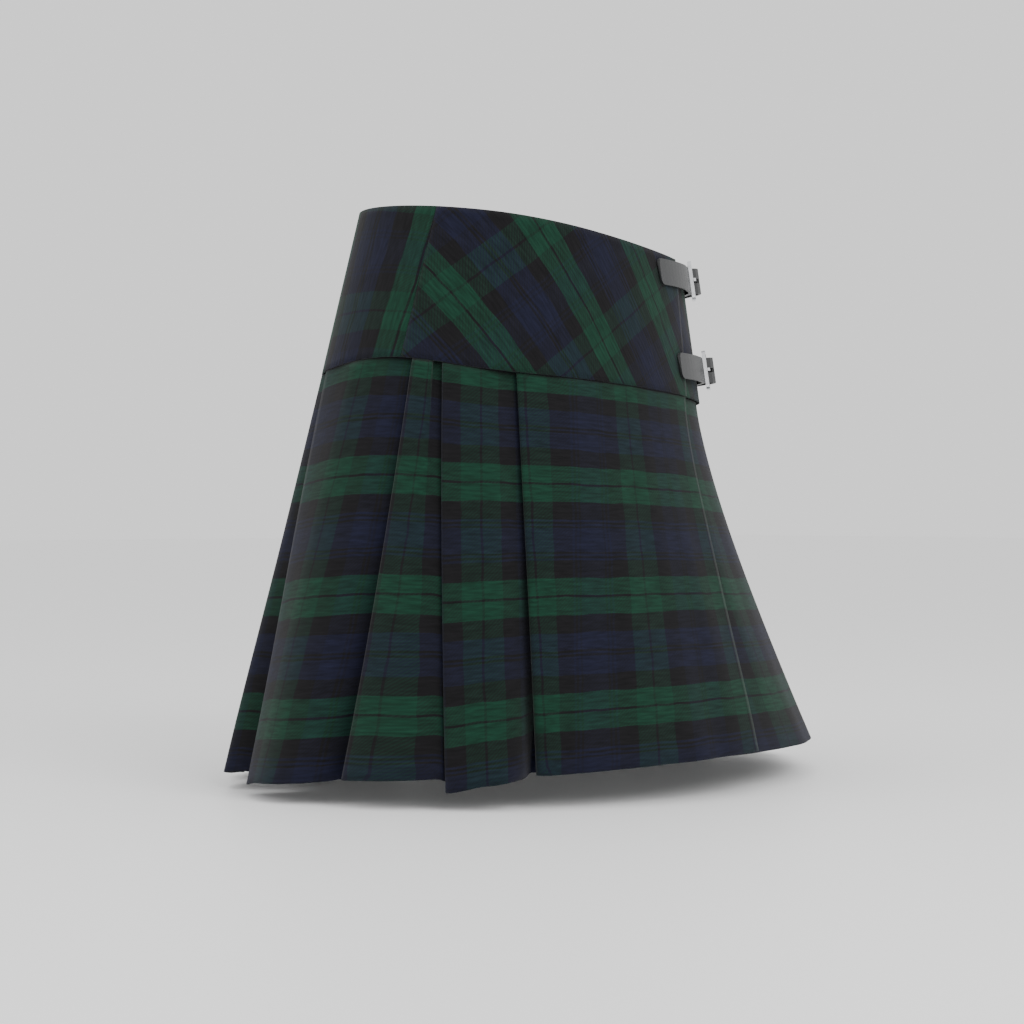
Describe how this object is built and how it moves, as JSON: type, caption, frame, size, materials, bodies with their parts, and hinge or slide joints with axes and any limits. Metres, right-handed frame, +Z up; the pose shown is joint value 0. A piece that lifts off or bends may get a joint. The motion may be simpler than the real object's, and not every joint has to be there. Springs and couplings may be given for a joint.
{
  "type": "scottish kilt",
  "caption": "Short pleated kilt in dark green and navy government tartan, with a bias-cut hip yoke, a wrap-over front apron and leather strap-and-buckle fastenings.",
  "frame": {"origin": "centre of the waist opening, at the waist edge's mean height", "axes": "+Z up, the front faces -Y, the wearer's right is -X"},
  "size_m": [0.4765, 0.3787, 0.4009],
  "materials": {
    "tartan_wool": "matte",
    "leather": "satin",
    "plated_steel": "polished"
  },
  "bodies": {
    "root": {"yoke_front": "tartan_wool", "yoke_back": "tartan_wool", "yoke_under": "tartan_wool", "skirt_apron": "tartan_wool", "pleats_right_hip": "tartan_wool", "pleats_back": "tartan_wool", "pleats_left_hip": "tartan_wool", "skirt_under_apron": "tartan_wool", "strap_upper": "leather", "tab_upper": "leather", "buckle_frame_upper": "plated_steel", "buckle_prong_upper": "plated_steel", "strap_lower": "leather", "tab_lower": "leather", "buckle_frame_lower": "plated_steel", "buckle_prong_lower": "plated_steel"}
  },
  "joints": []
}
